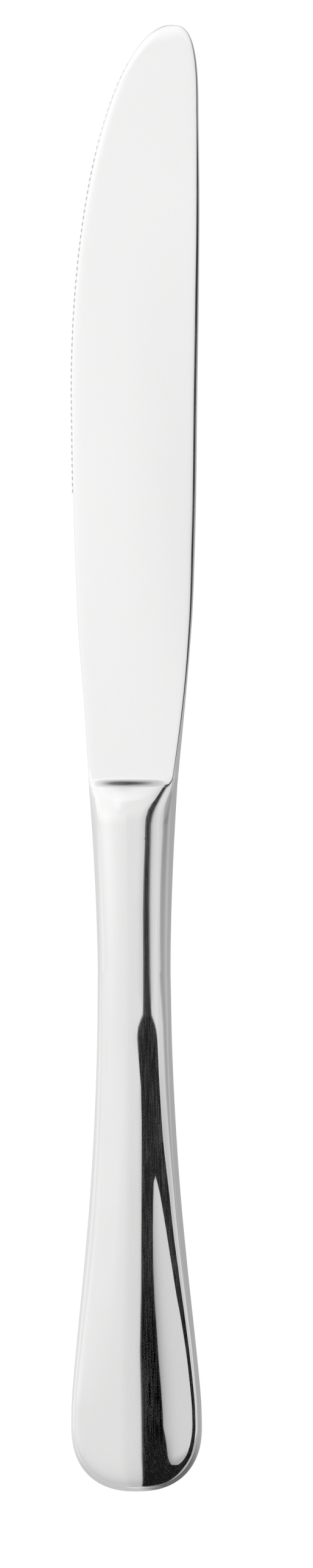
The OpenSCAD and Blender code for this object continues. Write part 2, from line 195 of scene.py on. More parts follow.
def handle_top(x, y):
    """Height of the handle's face."""
    d = np.maximum(-y, 0)
    off = np.maximum(np.abs(x - (spine_x(y) + edge_x(y)) / 2) - CREST_W / 2, 0)
    flank = np.where(d < END_D, (spine_x(y) - edge_x(y)) / 2 - wall_w(y, 1), HANDLE_W / 2 - HANDLE_WALL)
    across = off / (flank * REACH - CREST_W / 2)
    along = np.maximum(d - END_D, 0) / (END_LEN - HANDLE_WALL) / REACH
    end_wall = np.where(d < HANDLE_LEN - HANDLE_WALL, HANDLE_T,
                        pillow(1 / REACH, d) * (np.maximum(HANDLE_LEN - d, 0) / HANDLE_WALL) ** (1 / WALL_P))
    return np.minimum(pillow((across ** END_P + along ** END_P) ** (1 / END_P), d), end_wall)


def rise(y):
    """How much of the way from the blade's face up to the handle's is reached at y."""
    off = y - CREASE_Y
    d = (np.sqrt(off * off + CREASE_R ** 2) - off) / 2
    return mix(1 - (1 - clamp(d / SLOPE_LEN)) ** SLOPE_P, ease(0.5 - (y - STEP_MID_Y) / STEP_LEN), STEP_SHARE)


def top_at(x, y):
    """Height of the knife's upper face."""
    return mix(blade_top(x, y), handle_top(x, y), rise(y))


def tooth(y):
    """How far the teeth stand out of the edge at y."""
    s = (y - TEETH_START) / TOOTH_PITCH
    fade = mix(1, TOOTH_FADE[1], clamp(((y - TEETH_START) / (TEETH_END - TEETH_START) - TOOTH_FADE[0])
                                       / (1 - TOOTH_FADE[0])))
    bump = np.sqrt(np.abs(np.sin(np.pi * s)))
    return np.where((y > TEETH_START) & (y < TEETH_END), TOOTH_DEPTH * fade * bump, 0.0)


# Where the points of half a section lie: up the wall, then over the face to its middle
WALL_STEPS = np.linspace(0, 1, 7)[:-1]
FACE_STEPS = np.linspace(0, 1, 31) ** 1.7


def side_points(y, side, low):
    """Points of one side of the upper half sections: up the wall, then over the face to its middle."""
    rim = edge_x(y) if side < 0 else spine_x(y)
    wall = wall_w(y, side)
    foot = rim - side * wall
    middle = (edge_x(y) + spine_x(y)) / 2
    top = np.maximum(top_at(foot, y), low)
    out = tooth(y) if side < 0 else np.zeros_like(y)
    columns = []
    for s in WALL_STEPS:
        z = mix(low, top, s)
        x = rim - side * wall * (z / np.maximum(top, 1e-6)) ** WALL_P
        columns.append((x - out * (1 - s), y, z))
    for s in FACE_STEPS:
        x = mix(foot, middle, s)
        columns.append((x, y, np.maximum(top_at(x, y), low)))
    return columns


def half_section(y, low=0.0):
    """Upper half of the sections at the places y, from the edge's side to the spine's: rows, points, xyz."""
    columns = side_points(y, -1, low) + side_points(y, 1, low)[-2::-1]
    return np.stack([np.stack(column, -1) for column in columns], 1)


HALF_COUNT = 2 * (len(WALL_STEPS) + len(FACE_STEPS)) - 1


def hollow_half(d, inset):
    """Half the width of the handle's hollow, whose walls are inset thick."""
    return np.where(d < END_D, handle_half(d) - inset,
                    (HANDLE_W / 2 - inset) * rounded((d - END_D) / (END_LEN - inset), END_P))


def hollow_section(d, inset, low=0.0):
    """Upper half of the hollow's sections, from the edge's side to the spine's."""
    along = np.maximum(d - END_D, 0) / (END_LEN - inset)
    half = hollow_half(d, inset)
    full = np.where(d < END_D, half, HANDLE_W / 2 - inset)
    points = []
    for i in range(HALF_COUNT):
        x = -half * math.cos(math.pi * i / (HALF_COUNT - 1))
        q = ((np.abs(x) / full) ** END_P + along ** END_P) ** (1 / END_P)
        points.append(np.stack([x, -d, np.maximum((crown(d) - inset) * rounded(q, SECTION_P), low)], -1))
    return np.stack(points, 1)


def whole(half):
    """Both halves of the sections as closed rings."""
    lower = half[:, -2:0:-1] * np.array([1, 1, -1])
    return np.concatenate([half, lower], 1)


def normals_of(section, y, closed):
    """Outward normals of a section's points, from the surface's own slopes."""
    step, end_gap = 0.02, 1e-4
    low_y = np.maximum(y - step, end_gap - HANDLE_LEN)
    high_y = np.minimum(y + step, BLADE_LEN - end_gap)
    along = section(high_y) - section(low_y)
    here = section(y)
    around = np.roll(here, -1, 1) - np.roll(here, 1, 1)
    if not closed:
        around[:, 0] = here[:, 1] - here[:, 0]
        around[:, -1] = here[:, -1] - here[:, -2]
    n = np.cross(around, along)
    n /= np.maximum(np.linalg.norm(n, axis=-1, keepdims=True), 1e-12)
    outward = here.copy()
    outward[..., 0] -= (edge_x(y) + spine_x(y))[:, None] / 2
    outward[..., 1] = 0
    flip = np.sum(n * outward, -1) < 0
    n[flip] *= -1
    return n


# Meshes
def to_frame(points):
    """From the formulas' millimetres to the shared frame's metres."""
    return (np.asarray(points, float).reshape(-1, 3) + np.array([-MID_X, -MID_Y, HANDLE_T / 2])) / 1000


def make_object(name, points, faces, normals=None):
    """Mesh object from points in millimetres, with normals given for the points of its smooth faces."""
    mesh = bpy.data.meshes.new(name)
    inside = np.clip(to_frame(points), np.array(cad_box[0]), np.array(cad_box[1]))
    mesh.from_pydata(inside.tolist(), [], [tuple(int(i) for i in f) for f in faces])
    mesh.validate()
    mesh.update()
    bm = bmesh.new()
    bm.from_mesh(mesh)
    bmesh.ops.recalc_face_normals(bm, faces=bm.faces)
    bm.to_mesh(mesh)
    bm.free()
    mesh.shade_smooth()
    if normals is not None:
        custom = []
        flat_normals = [tuple(p.normal) for p in mesh.polygons]
        for polygon in mesh.polygons:
            flat = flat_normals[polygon.index]
            for v in polygon.vertices:
                n = normals[v]
                custom.append(flat if n[0] == 0 and n[1] == 0 and n[2] == 0 else tuple(n))
        mesh.normals_split_custom_set(custom)
    obj = bpy.data.objects.new(name, mesh)
    bpy.context.scene.collection.objects.link(obj)
    return obj


def strip_faces(rows, count, closed, start=0):
    """Quads between rows of points."""
    last = count if closed else count - 1
    return [(start + i * count + j, start + i * count + (j + 1) % count,
             start + (i + 1) * count + (j + 1) % count, start + (i + 1) * count + j)
            for i in range(rows - 1) for j in range(last)]


def spaced(a, b, step):
    """Places from a up to b, without b, about a step apart."""
    return np.linspace(a, b, max(int(math.ceil(abs(b - a) / step)), 1) + 1)[:-1]


def blade_places():
    """Places of the blade's sections, close together at the shoulder's step, the teeth and the nose."""
    step_back, step_front, slope_front = -1.4, 1.6, 6
    nose = TEETH_END + (BLADE_LEN - TEETH_END) * np.sin(np.linspace(0, math.pi / 2, 44))[:-1]
    return np.concatenate([spaced(-BOLSTER_LEN, step_back, 0.25), spaced(step_back, step_front, 0.06),
                           spaced(step_front, slope_front, 0.25), spaced(slope_front, TEETH_START, 0.6),
                           spaced(TEETH_START, TEETH_END, TOOTH_PITCH / 8), nose])


def shell_places(inset=0.0):
    """Places of the half shells' sections, as distances behind the shoulder."""
    straight = spaced(SHELL_D, END_D, 0.5)
    end = END_D + (END_LEN - inset) * np.sin(np.linspace(0, math.pi / 2, 48))[:-1]
    return np.concatenate([straight, end])


# Ground facets of the teeth, duller and darkened with painted shade: their share from the rim inwards, and
# how they fade towards the tip
FACET_SHARES = (1, 1, 1, 0.9, 0.5, 0.1, 0)
FACET_FADE_Y, FACET_FADE_LEN, FACET_TIP_SHARE = 100, 8, 0.45


def build_blade():
    """Blade, bolster and tang, with the place of each tooth's ground facet painted on, where the steel is
    duller and darkened with painted shade.
    """
    y = blade_places()
    rings = whole(half_section(y))
    rows, count = rings.shape[:2]
    points = [rings.reshape(-1, 3), np.array([[TIP_OFFSET, BLADE_LEN, 0]])]
    faces = strip_faces(rows, count, True)
    tip = rows * count
    faces += [((rows - 1) * count + j, (rows - 1) * count + (j + 1) % count, tip) for j in range(count)]
    faces.append(tuple(range(count)))
    normals = [normals_of(lambda v: whole(half_section(v)), y, True).reshape(-1, 3), np.array([[0, 1, 0]])]
    # The tang behind the bolster, with the notches that key it into the filler
    start = tip + 1
    root, end = TANG_ROOT_W / 2, TANG_END_W / 2
    back = -BOLSTER_LEN - TANG_LEN
    side = [(root, -BOLSTER_LEN)]
    for share in NOTCH_SHARES:
        middle_x = mix(root, end, share) + NOTCH_OFF * NOTCH_R
        middle_y = -BOLSTER_LEN - TANG_LEN * share
        for a in np.radians(np.linspace(75, 285, 15)):
            side.append((middle_x + NOTCH_R * math.cos(a), middle_y + NOTCH_R * math.sin(a)))
    side.append((end, back))
    outline = side + [(-x, v) for x, v in reversed(side)]
    k = len(outline)
    tang = [(x, v, z) for z in (-TANG_T / 2, TANG_T / 2) for x, v in outline]
    points.append(np.array(tang))
    normals.append(np.zeros((2 * k, 3)))
    faces += [tuple(start + i for i in range(k)), tuple(start + k + i for i in range(k))]
    faces += [(start + i, start + (i + 1) % k, start + k + (i + 1) % k, start + k + i) for i in range(k)]
    obj = make_object("knife_blade", np.concatenate(points), faces, np.concatenate(normals))
    # Each tooth's facet is ground in its middle, from the rim nearly to the face, and less near the tip; this
    # mask carries both the duller grind and the painted shade
    tooth_middle = np.abs(np.sin(np.pi * (y - TEETH_START) / TOOTH_PITCH))
    facet = np.where((y > TEETH_START) & (y < TEETH_END), ease((tooth_middle - 0.5) / 0.3), 0)
    across = np.zeros(HALF_COUNT)
    across[:len(FACET_SHARES)] = FACET_SHARES
    facet = facet * mix(1, FACET_TIP_SHARE, ease((y - FACET_FADE_Y) / FACET_FADE_LEN))
    half = facet[:, None] * across[None, :]
    ground = np.zeros(len(obj.data.vertices))
    ground[:tip] = np.concatenate([half, half[:, -2:0:-1]], 1).ravel()
    obj.data.attributes.new("ground", "FLOAT", "POINT").data.foreach_set("value", ground)
    return obj


def build_shell(name, lower):
    """Front half of the hollow handle, or the back one, which is its mirror."""
    low = SEAM_T / 2
    d_out, d_in = shell_places(), shell_places(SHEET_T)
    outside = half_section(-d_out, low)
    inside = hollow_section(d_in, SHEET_T, low)
    n_out = normals_of(lambda v: half_section(v, low), -d_out, False)
    rows, count = outside.shape[:2]
    ends = np.array([[0, -HANDLE_LEN, low], [0, SHEET_T - HANDLE_LEN, low]])
    points = np.concatenate([outside.reshape(-1, 3), inside.reshape(-1, 3), ends])
    size = rows * count
    out_end, in_end = 2 * size, 2 * size + 1
    last = (rows - 1) * count
    faces = strip_faces(rows, count, False) + strip_faces(rows, count, False, size)
    faces += [(last + j, last + j + 1, out_end) for j in range(count - 1)]
    faces += [(size + last + j, size + last + j + 1, in_end) for j in range(count - 1)]
    faces += [(j, j + 1, size + j + 1, size + j) for j in range(count - 1)]
    for edge in (0, count - 1):
        faces += [(i * count + edge, (i + 1) * count + edge, size + (i + 1) * count + edge,
                   size + i * count + edge) for i in range(rows - 1)]
    far = last + count - 1
    faces += [(last, out_end, in_end, size + last), (far, out_end, in_end, size + far)]
    normals = np.concatenate([n_out.reshape(-1, 3), np.zeros((size, 3)), [[0, -1, 0], [0, 0, 0]]])
    if lower:
        points = points * np.array([1, 1, -1])
        normals = normals * np.array([1, 1, -1])
    return make_object(name, points, faces, normals)


def build_seam():
    """Flush braze between the rims of the two half shells."""
    low = SEAM_T / 2
    rim = half_section(-shell_places(), low)
    pit = hollow_section(shell_places(SHEET_T), SHEET_T, low)
    out_line = np.concatenate([rim[:, 0, :2], [[0, -HANDLE_LEN]], rim[::-1, -1, :2]])
    in_line = np.concatenate([pit[:, 0, :2], [[0, SHEET_T - HANDLE_LEN]], pit[::-1, -1, :2]])
    k = len(out_line)
    points = np.concatenate([np.column_stack([line, np.full(k, z)])
                             for z in (-low, low) for line in (out_line, in_line)])
    faces = []
    for a, b in ((0, 1), (2, 3), (0, 2), (1, 3)):
        faces += [(a * k + i, a * k + i + 1, b * k + i + 1, b * k + i) for i in range(k - 1)]
    faces += [(0, k, 3 * k, 2 * k), (k - 1, 2 * k - 1, 4 * k - 1, 3 * k - 1)]
    return make_object("knife_seam_braze", points, faces)


def build_ring():
    """Braze between the bolster's back and the mouths of the shells."""
    y = np.array([-BOLSTER_LEN, -BOLSTER_LEN - BRAZE_T / 2, -SHELL_D])
    outer = whole(half_section(y))
    inner = whole(hollow_section(np.full(3, SHELL_D), SHEET_T))
    inner[..., 1] = y[:, None]
    count = outer.shape[1]
    size = 3 * count
    points = np.concatenate([outer.reshape(-1, 3), inner.reshape(-1, 3)])
    faces = strip_faces(3, count, True) + strip_faces(3, count, True, size)
    for row in (0, 2):
        faces += [(row * count + j, row * count + (j + 1) % count, size + row * count + (j + 1) % count,
                   size + row * count + j) for j in range(count)]
    normals = np.concatenate([normals_of(lambda v: whole(half_section(v)), y, True).reshape(-1, 3),
                              np.zeros((size, 3))])
    return make_object("knife_shoulder_braze", points, faces, normals)


# Materials: noise scales per metre along x, y and z, so that the marks of polishing run along the knife
LINES, WAVES, CLOUD = (2600, 45, 2600), (420, 22, 420), (160, 60, 160)
HAIRS, PATCHES, GRAIN = (8000, 150, 8000), (350, 90, 350), (1800, 1800, 1800)
# How strongly a hairline scatters light, by the height of the noise
HAIR_STOPS = [(0.58, 0.0), (0.68, 0.12), (0.76, 0.42), (0.84, 0.85)]
# Colours of polished steel, of the blade's brighter face, of the ground teeth, darkened as painted shade, and
# of the flush braze
STEEL_BASE, FACE_BASE = (0.87, 0.87, 0.867), (0.93, 0.93, 0.927)
FACET_SHADE_BASE, BRAZE_BASE = (0.52, 0.52, 0.515), (0.868, 0.868, 0.864)
POLISHED = 0.030
# How much the roughness varies with the polishing lines, and how much duller the ground teeth are
LINE_ROUGHNESS, GROUND_ROUGHNESS = 0.02, 0.2
# Where the bolster's finish gives way to the blade's, in millimetres from the shoulder
FACE_START, FACE_FULL = 0.3, 1.5


def new_material(name):
    """Empty material, with its nodes and links."""
    mat = bpy.data.materials.new(name)
    mat.use_nodes = True
    mat.node_tree.nodes.clear()
    return mat, mat.node_tree.nodes, mat.node_tree.links


def ramp(nodes, stops):
    """Colour ramp from places and greys or colours."""
    node = nodes.new("ShaderNodeValToRGB")
    while len(node.color_ramp.elements) < len(stops):
        node.color_ramp.elements.new(0.5)
    for element, (place, value) in zip(node.color_ramp.elements, stops):
        element.position = place
        element.color = (value, value, value, 1) if not isinstance(value, tuple) else (*value, 1)
    return node


def noise(nodes, links, coords, scale, detail, roughness=0.5):
    """Noise stretched by a scale per metre along each axis."""
    mapping = nodes.new("ShaderNodeMapping")
    mapping.inputs["Scale"].default_value = scale
    links.new(coords, mapping.inputs["Vector"])
    node = nodes.new("ShaderNodeTexNoise")
    node.inputs["Scale"].default_value = 1.0
    node.inputs["Detail"].default_value = detail
    node.inputs["Roughness"].default_value = roughness
    links.new(mapping.outputs["Vector"], node.inputs["Vector"])
    return node.outputs["Fac"]


def math_node(nodes, links, operation, a, b):
    """Math node of two sockets or numbers."""
    node = nodes.new("ShaderNodeMath")
    node.operation = operation
    for socket, value in zip(node.inputs, (a, b)):
        if isinstance(value, (int, float)):
            socket.default_value = value
        else:
            links.new(value, socket)
    return node.outputs[0]


def steel(name, base, rough, line_height, wave_height, blade_base=None):
    """Polished steel: fine lengthwise polishing lines, slight waves, hairline scratches."""
    mat, nodes, links = new_material(name)
    out = nodes.new("ShaderNodeOutputMaterial")
    shader = nodes.new("ShaderNodeBsdfPrincipled")
    coords = nodes.new("ShaderNodeTexCoord").outputs["Object"]
    lines = noise(nodes, links, coords, LINES, 3.0, 0.62)
    waves = noise(nodes, links, coords, WAVES, 2.0)
    cloud = noise(nodes, links, coords, CLOUD, 3.0)
    height = math_node(nodes, links, "ADD", math_node(nodes, links, "MULTIPLY", lines, line_height),
                       math_node(nodes, links, "MULTIPLY", waves, wave_height))
    bump = nodes.new("ShaderNodeBump")
    bump.inputs["Strength"].default_value = 1.0
    bump.inputs["Distance"].default_value = 1.0e-6
    links.new(height, bump.inputs["Height"])
    links.new(bump.outputs["Normal"], shader.inputs["Normal"])
    tone = ramp(nodes, [(0.3, tuple(c * 0.985 for c in base)), (0.7, base)])
    links.new(cloud, tone.inputs["Fac"])
    color = tone.outputs["Color"]
    if blade_base:
        # The blade's face has a brighter finish than the bolster, from the shoulder's step on
        split = nodes.new("ShaderNodeSeparateXYZ")
        links.new(coords, split.inputs["Vector"])
        face = nodes.new("ShaderNodeMapRange")
        face.interpolation_type = "SMOOTHSTEP"
        face.inputs["From Min"].default_value = (FACE_START - MID_Y) / 1000
        face.inputs["From Max"].default_value = (FACE_FULL - MID_Y) / 1000
        links.new(split.outputs["Y"], face.inputs["Value"])
        two = nodes.new("ShaderNodeMix")
        two.data_type = "RGBA"
        links.new(face.outputs["Result"], two.inputs["Factor"])
        links.new(color, two.inputs["A"])
        two.inputs["B"].default_value = (*blade_base, 1)
        # The teeth are ground and not polished, so they are duller; their darker colour is painted shade,
        # which stands in for the darker reflections on their facets
        ground = nodes.new("ShaderNodeAttribute")
        ground.attribute_name = "ground"
        facet_shade = nodes.new("ShaderNodeMix")
        facet_shade.data_type = "RGBA"
        links.new(ground.outputs["Fac"], facet_shade.inputs["Factor"])
        links.new(two.outputs["Result"], facet_shade.inputs["A"])
        facet_shade.inputs["B"].default_value = (*FACET_SHADE_BASE, 1)
        color = facet_shade.outputs["Result"]
    links.new(color, shader.inputs["Base Color"])
    gloss = math_node(nodes, links, "MULTIPLY_ADD", lines, LINE_ROUGHNESS)
    gloss.node.inputs[2].default_value = rough - LINE_ROUGHNESS / 2
    if blade_base:
        dull = math_node(nodes, links, "MULTIPLY", ground.outputs["Fac"], GROUND_ROUGHNESS)
        gloss = math_node(nodes, links, "ADD", gloss, dull)
    links.new(gloss, shader.inputs["Roughness"])
    across = nodes.new("ShaderNodeTangent")
    across.direction_type = "RADIAL"
    across.axis = "Y"
    links.new(across.outputs["Tangent"], shader.inputs["Tangent"])
    shader.inputs["Anisotropic"].default_value = 0.9
    shader.inputs["Metallic"].default_value = 1.0
    # Hairlines left by the polishing wheel scatter a little light, and show only in dark reflections
    hairs = noise(nodes, links, coords, HAIRS, 2.0, 0.6)
    patches = noise(nodes, links, coords, PATCHES, 2.0, 0.5)
    hairs = math_node(nodes, links, "ADD", hairs, math_node(nodes, links, "MULTIPLY", patches, 0.45))
    rub = ramp(nodes, HAIR_STOPS)
    links.new(hairs, rub.inputs["Fac"])
    links.new(rub.outputs["Color"], shader.inputs["Coat Weight"])
    shader.inputs["Coat Roughness"].default_value = 0.35
    shader.inputs["Coat IOR"].default_value = 1.9
    links.new(shader.outputs["BSDF"], out.inputs["Surface"])
    return mat


def filler_material():
    """Hard grainy filler."""
    mat, nodes, links = new_material("handle_filler_grain")
    out = nodes.new("ShaderNodeOutputMaterial")
    shader = nodes.new("ShaderNodeBsdfPrincipled")
    coords = nodes.new("ShaderNodeTexCoord").outputs["Object"]
    grain = noise(nodes, links, coords, GRAIN, 4.0, 0.6)
    tone = ramp(nodes, [(0.3, (0.50, 0.46, 0.39)), (0.7, (0.68, 0.64, 0.56))])
    links.new(grain, tone.inputs["Fac"])
    links.new(tone.outputs["Color"], shader.inputs["Base Color"])
    bump = nodes.new("ShaderNodeBump")
    bump.inputs["Distance"].default_value = 5.0e-5
    links.new(grain, bump.inputs["Height"])
    links.new(bump.outputs["Normal"], shader.inputs["Normal"])
    shader.inputs["Roughness"].default_value = 0.8
    links.new(shader.outputs["BSDF"], out.inputs["Surface"])
    return mat


def glow_material(name):
    """Light panel or card: its glow is painted on the mesh."""
    mat, nodes, links = new_material(name)
    out = nodes.new("ShaderNodeOutputMaterial")
    glow = nodes.new("ShaderNodeEmission")
    level = nodes.new("ShaderNodeAttribute")
    level.attribute_name = "glow"
    links.new(level.outputs["Fac"], glow.inputs["Strength"])
    links.new(glow.outputs["Emission"], out.inputs["Surface"])
    mat.cycles.emission_sampling = "NONE"
    return mat


# The knife
blade = build_blade()
front_shell = build_shell("knife_front_shell", False)
back_shell = build_shell("knife_back_shell", True)
seam = build_seam()
ring = build_ring()

blade_steel = steel("blade_polished_steel", STEEL_BASE, POLISHED, line_height=0.03, wave_height=0.10,
                    blade_base=FACE_BASE)
handle_steel = steel("handle_polished_steel", STEEL_BASE, POLISHED, line_height=0.07, wave_height=0.14)
braze_metal = steel("braze_polished_flush", BRAZE_BASE, POLISHED, line_height=0.12, wave_height=0.15)
filler_grain = filler_material()

for obj, node, mat, slot in ((blade, "blade", blade_steel, "blade_steel"),
                             (front_shell, "front_handle_shell", handle_steel, "handle_steel"),
                             (back_shell, "back_handle_shell", handle_steel, "handle_steel"),
                             (seam, "shell_seam_braze", braze_metal, "braze"),
                             (ring, "shoulder_braze", braze_metal, "braze")):
    obj.data.materials.append(mat)
    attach(obj, "root")
    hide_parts(node)

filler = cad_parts["handle_filler"]
for slot in filler.material_slots:
    slot.material = filler_grain

# Studio, in millimetres: an overhead panel, dark cards under it, a grey wall and a floor. The steel mirrors
# them all, and their brightness is painted, so that each face has the level that the photo shows there
PANEL_Z, FLAG_Z, BAR_Z, WALL_X = 256.0, 250.0, 249.0, 250.0
# Behind the shoulder, the panel's levels lie further back than the places in its terms say, by this factor
# and at most by this shift
BACK_FACTOR, BACK_SHIFT = 1.0594, 6.8
# Change of the panel's brightness towards the tip and far past it, along Y
NORTH_STEPS = [(-1500, 0), (110, 0), (175, -0.03), (217, -0.09), (249, -0.15), (370, -0.27), (432, -0.32),
               (489, -0.42), (560, -0.56), (617, -0.64), (685, -0.78), (741, -0.88), (816, -0.94),
               (1500, -0.94)]
# Change of its brightness on the edge's side, from beside the neck on, along X
WEST_STEPS = [(-2000, -0.02), (-1200, -0.02), (-900, 0), (-600, 0.035), (-470, 0.09), (-400, 0.095),
              (-300, 0.025), (-215, 0), (2000, 0)]


def at(v, steps, column=1):
    """Value at v in a table whose rows start with a place."""
    return np.interp(v, [row[0] for row in steps], [row[column] for row in steps])


def above(v, start, run):
    """0 up to start, and rising softly to 1 over the run above it."""
    return ease((v - start) / run)


def below(v, start, run):
    """0 down to start, and rising softly to 1 over the run below it."""
    return ease((start - v) / run)


def bump_at(v, middle, width):
    """1 in the middle, and fading away on both sides."""
    return np.exp(-((v - middle) / width) ** 2)


def panel_glow(x, y):
    """Brightness of the overhead light, by place from the handle's axis and the shoulder."""
    y = np.where(y > 0, y, np.minimum(y / BACK_FACTOR, y + BACK_SHIFT))
    beside_neck = above(y, -52, 34)
    # The broad level, over the knife and on the edge's side of it, dimmer far behind the handle's end
    over_knife = 0.84 + 0.116 * above(y, 30, 115)
    level = mix(over_knife, np.maximum(0.88 + 0.053 * above(y, -16, 76), over_knife), below(x, -6, 20))
    level = level - 0.22 * below(y, -150, 450)
    # More light further out on the edge's side: beside the neck, beside the blade, far out, beside the handle
    level = level + 0.17 * beside_neck * bump_at(x, -215, 150) * (1 - 0.6 * above(y, 60, 60))
    level = level + 0.08 * below(x, -30, 60) * above(y, 40, 80)
    level = level + 0.06 * below(x, -300, 400)
    level = level + at(x, WEST_STEPS) * beside_neck
    level = level + 0.06 * bump_at(y, -72, 20) * below(x, -30, 60)
    level = level + 0.05 * bump_at(y, -50, 9) * below(x, -15, 40)
    # Over the handle: dimmer from the axis on, with a soft fall beside the dark stripe
    level = level - 0.03 * above(x, -30, 15) * below(y, -50, 20)
    level = level - (0.15 - 0.02 * below(y, -58, 15)) * above(x, -1, 7) * below(y, -38, 5)
    level = level - 0.02 * below(y, -90, 25) * below(x, 0, 20)
    # Brighter where the slope behind the shoulder looks, and a little dimmer for the blade's nose
    slope_seen = above(y, 150, 15) * (1 - above(y, 205, 40))
    level = level + slope_seen * (0.04 + 0.10 * bump_at(x, -42, 38))
    level = level + 0.10 * bump_at(x, -60, 24) * bump_at(y, 138, 22)
    level = level - 0.02 * above(y, 112, 14) * (1 - slope_seen) * bump_at(x, -10, 36)
    # The spine's side: dimmer, with a brighter strip
    level = level - 0.09 * above(x, -10, 90)
    level = level - 0.04 * above(x, 83, 60) * above(y, -60, 60) + 0.09 * bump_at(x, 165, 38)
    # Seen through the window over the handle: dimmer towards its near side and its far end
    from_side = np.maximum(x - 50 - 0.42 * np.maximum(-110 - y, 0), 0)
    window = (0.36 + 0.38 * (1 - np.exp(-from_side / 24))) * (1 - 0.35 * below(y, -190, 70))
    level = np.where((x > 30) & (y < -54), window, level)
    return level + at(y, NORTH_STEPS) * (1 - above(np.abs(x + 50), 400, 300))


def glow_object(name, points, faces, levels):
    """Mesh with its brightness painted on, which only the steel sees."""
    mesh = bpy.data.meshes.new(name)
    mesh.from_pydata(to_frame(points).tolist(), [], faces)
    mesh.update()
    attribute = mesh.attributes.new("glow", "FLOAT", "POINT")
    attribute.data.foreach_set("value", np.asarray(levels, float).ravel())
    mesh.materials.append(glow_card)
    obj = bpy.data.objects.new(name, mesh)
    bpy.context.scene.collection.objects.link(obj)
    obj.visible_camera = False
    obj.visible_shadow = False
    return obj


def glow_grid(name, points, levels):
    """The same from a grid of points."""
    rows, count = points.shape[:2]
    return glow_object(name, points.reshape(-1, 3), strip_faces(rows, count, False), levels)


def at_height(z, x, y):
    """Points x, y, all at the height z above the floor."""
    return np.stack([x, y, np.full(x.shape, z - HANDLE_T / 2)], -1)


def flag(name, outline, holes, z, levels):
    """Dark card with an outline and holes, at the height z above the floor, with its brightness along Y."""
    bm = bmesh.new()
    edges = []
    for loop in [outline] + holes:
        verts = [bm.verts.new((x, y, z - HANDLE_T / 2)) for x, y in loop]
        edges += [bm.edges.new((verts[i], verts[(i + 1) % len(verts)])) for i in range(len(verts))]
    bmesh.ops.triangle_fill(bm, use_beauty=True, edges=edges)
    bm.verts.index_update()
    points = np.array([tuple(v.co) for v in bm.verts])
    faces = [tuple(v.index for v in f.verts) for f in bm.faces]
    bm.free()
    return glow_object(name, points, faces, at(points[:, 1], levels))


glow_card = glow_material("studio_glow")

# Overhead light over the whole knife, finer in its middle
panel_x = np.concatenate([np.linspace(-1500, -400, 12), np.linspace(-360, 400, 77),
                          np.linspace(440, 1500, 12)])
panel_y = np.concatenate([np.linspace(-1500, -420, 13), np.linspace(-400, 400, 81),
                          np.linspace(440, 1500, 12)])
grid_x, grid_y = np.meshgrid(panel_x, panel_y)
glow_grid("studio_panel", at_height(PANEL_Z, grid_x, grid_y), panel_glow(grid_x, grid_y))

# Dark cards under it: a narrow bar towards the tip, and a frame round a window over the handle
# The bar: the place along Y, and where its left and right sides are there
BAR_SIDES = [(-38.8, 25, 97), (-38.2, 26, 91.5), (-37.5, 27.6, 88), (-36, 28.8, 84), (-33.9, 30, 81),
             (-25.4, 29, 75), (-19.1, 33, 75), (-13.3, 39, 78), (0, 41, 80), (42, 41, 84), (56, 42, 86),
             (69, 44.5, 89), (81, 46, 94), (92, 48, 99), (101, 54, 107), (109, 58, 111), (115, 64, 111),
             (120, 71, 110), (124, 76, 108), (135, 77, 106), (150, 74, 103), (170, 67, 96), (190, 60, 92)]
# Its soft sides: how far a column lies from the left or right side, and its share of the panel's light
LEFT_STEPS = [(-32, 1.0), (-22, 0.95), (-14, 0.90), (-7, 0.86), (-2.5, 0.83), (0, 0.30), (3, 0.15), (7, 0.11),
              (12, 0.04)]
RIGHT_STEPS = [(-15, 0.04), (-9, 0.09), (0, 0.30), (8, 0.68), (20, 0.88), (36, 1.0)]
# The frame: its outline, its window, and its brightness along Y
FRAME_OUT = [(1.4, -41.3), (1.5, -40.9), (2.5, -40.2), (3.2, -39.9), (6.3, -39.65), (9.8, -39.35),
             (14.8, -39.07), (19.2, -38.85), (23.2, -38.57), (27, -38.3), (59, -38.2), (93, -38.3),
             (97, -38.6), (103, -38.85), (113, -39.05), (124, -39.3), (134, -39.55), (143, -39.75),
             (153, -40), (160, -40.2), (168, -40.5), (174, -40.9), (180, -41.8), (190, -44.5), (210, -48.4),
             (225, -51.1), (245, -52.7), (291, -54.2), (347, -55.1), (394, -57.2), (447, -58.8),
             (543, -59.9), (590, -65.7), (600, -89), (619, -117.6), (608, -148.7), (565, -189.7),
             (545, -359.7), (487, -415.7), (423, -477.7), (390, -638.7), (311, -962.7), (10, -962.7),
             (7, -503.7), (5, -332.7), (3, -185.7), (3, -116.5), (2, -103.8), (4.7, -91.1), (6.5, -79.5),
             (9.4, -67.8), (13.5, -53.5), (11.6, -47.7), (7, -45.6), (3, -43.2)]
FRAME_HOLE = [(96, -61.9), (79, -63.4), (69, -67.8), (59, -74.2), (51, -82.6), (49, -92.2), (50, -103.8),
              (54, -113.4), (59, -124.7), (64, -136.7), (80, -194.7), (97, -228.7), (116, -254.7),
              (135, -264.7), (189, -289.7), (232, -284.7), (279, -256.7), (331, -161.7), (357, -116.5),
              (349, -100.6), (345, -85.8), (336, -82.3), (303, -79.5), (254, -77.3), (214, -72.8),
              (178, -68.1), (154, -66), (131, -64)]
FRAME_LEVELS = [(-150, 0.010), (-122, 0), (-97, 0), (-88, 0.016)]

bar_y = np.linspace(BAR_SIDES[0][0], BAR_SIDES[-1][0], 240)
# The soft sides start from nothing at the bar's head
soft = above(bar_y, bar_y[0], 2.5)
columns, shades = [], []
for side, outward, steps in ((1, -1, LEFT_STEPS), (2, 1, RIGHT_STEPS)):
    for off, share in steps:
        columns.append(at(bar_y, BAR_SIDES, side) + off * (soft if off * outward > 0 else 1))
        shades.append(share * panel_glow(columns[-1] * PANEL_Z / BAR_Z, bar_y))
bar_points = np.stack([at_height(BAR_Z, column, bar_y) for column in columns], 1)
glow_grid("studio_flag_bar", bar_points, np.stack(shades, 1))
flag("studio_flag_frame", FRAME_OUT, [FRAME_HOLE], FLAG_Z, FRAME_LEVELS)

